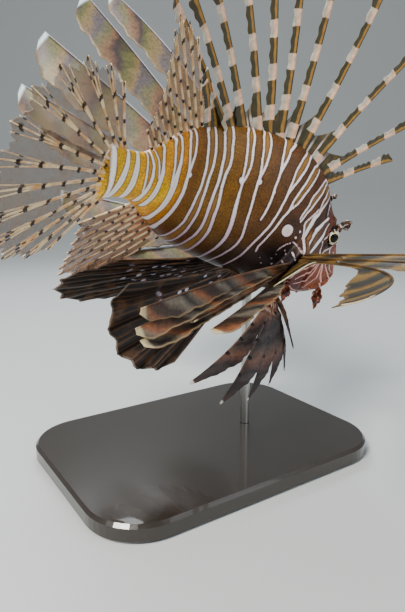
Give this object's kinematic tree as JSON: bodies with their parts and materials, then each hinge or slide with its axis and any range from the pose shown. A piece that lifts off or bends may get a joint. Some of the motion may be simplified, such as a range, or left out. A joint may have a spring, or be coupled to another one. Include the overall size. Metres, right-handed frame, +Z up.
{
  "type": "red lionfish model on display stand",
  "caption": "Life-size red lionfish with fanned spines and plume-like fins, banked nose down on a flat stand with one rod.",
  "frame": {"origin": "middle of the stand base's underside", "axes": "+Z up, +X the way the fish heads in plan, +Y to its left"},
  "size_m": [0.319, 0.3723, 0.3357],
  "materials": {
    "skin": "painted fish skin, red-brown bars with white lines, fine scales, damp satin",
    "eye": "clear domed glass eye over a dark pupil and a thin pale ring",
    "flap_skin": "soft dark red-brown skin flaps, frayed edges",
    "spine_fin": "spines banded pale and olive brown with narrow clear membranes",
    "clear_fin": "thin clear membranes over cream rays with rows of dark dots",
    "dark_fin": "near-black brown membranes with pale spots and ochre patches",
    "plume_fin": "long plumes banded olive, tan and violet grey with pale rays",
    "stand_board": "black lacquered board, satin",
    "stand_steel": "brushed steel rod"
  },
  "bodies": {
    "root": {"head": "skin", "lower_jaw": "skin", "gill_cover_right": "skin", "gill_cover_left": "skin", "trunk": "skin", "tail_stalk": "skin", "pectoral_base_right": "skin", "pectoral_base_left": "skin", "eye_right": "eye", "eye_left": "eye", "eye_tentacle_right": "flap_skin", "eye_tentacle_left": "flap_skin", "mouth_barbel_right": "flap_skin", "mouth_barbel_left": "flap_skin", "cheek_flap_right": "flap_skin", "cheek_flap_left": "flap_skin", "spiny_dorsal_fin": "spine_fin", "soft_dorsal_fin": "clear_fin", "anal_fin": "clear_fin", "tail_fin": "clear_fin", "pelvic_fin_right": "dark_fin", "pelvic_fin_left": "dark_fin", "pectoral_upper_right": "plume_fin", "pectoral_upper_left": "plume_fin", "pectoral_middle_right": "plume_fin", "pectoral_middle_left": "plume_fin", "pectoral_lower_right": "plume_fin", "pectoral_lower_left": "plume_fin", "stand_base": "stand_board", "stand_rod": "stand_steel"}
  },
  "joints": []
}
